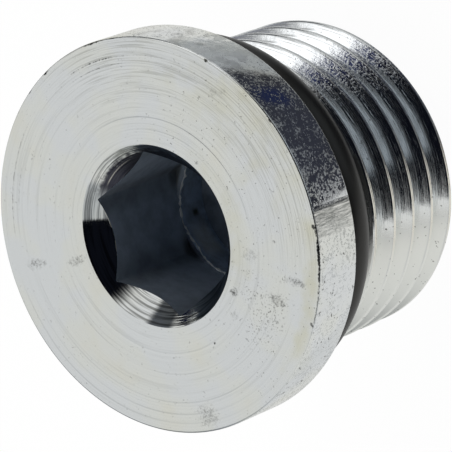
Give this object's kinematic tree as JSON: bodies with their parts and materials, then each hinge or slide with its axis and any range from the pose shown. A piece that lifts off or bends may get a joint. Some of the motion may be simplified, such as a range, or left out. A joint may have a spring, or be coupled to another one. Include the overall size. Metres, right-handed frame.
{
  "type": "hex socket screw plug",
  "caption": "Round-headed straight-thread screw plug with a countersunk hexagon socket, an undercut below the head and an O-ring seated in it.",
  "frame": {"origin": "centre of the stud's end face, on which the plug stands", "axes": "+Z along the plug's axis, from the stud's end to the head; +X through a corner of the hexagon socket"},
  "size_m": [0.0175, 0.0174, 0.0126],
  "materials": {
    "zinc_plated_steel": "turned steel with a thin clear zinc plating, fine turning marks on the face",
    "nitrile_rubber": "black moulded nitrile rubber, lightly oiled"
  },
  "bodies": {
    "root": {"plug_body": "zinc_plated_steel", "o_ring": "nitrile_rubber"}
  },
  "joints": []
}
